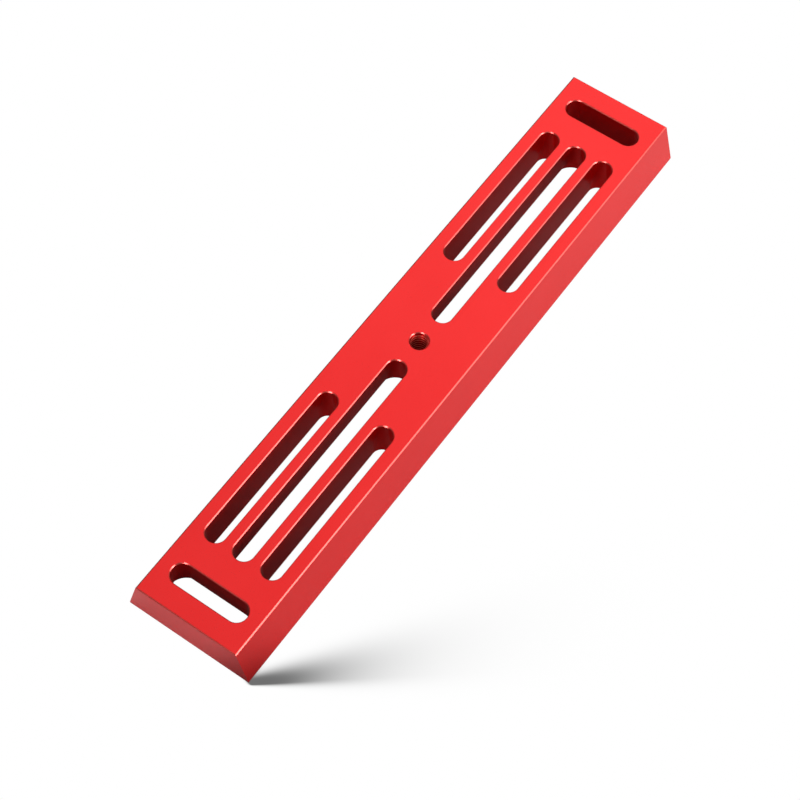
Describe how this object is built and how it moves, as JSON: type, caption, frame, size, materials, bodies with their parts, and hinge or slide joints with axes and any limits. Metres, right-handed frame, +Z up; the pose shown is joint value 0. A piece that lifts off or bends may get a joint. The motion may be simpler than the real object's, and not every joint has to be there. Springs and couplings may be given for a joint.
{
  "type": "dovetail plate",
  "caption": "Long dovetail plate with a flat narrow top, sloping flanks, lengthwise and crosswise mounting slots and a threaded hole in the middle.",
  "frame": {"origin": "centre of the wide bottom face, on the threaded hole's axis", "axes": "+X along the plate, +Y across it, +Z up from the wide face to the narrow one"},
  "size_m": [0.24, 0.045, 0.015],
  "materials": {
    "anodised_aluminium": "satin red anodised"
  },
  "bodies": {
    "root": {"dovetail_plate": "anodised_aluminium"}
  },
  "joints": []
}
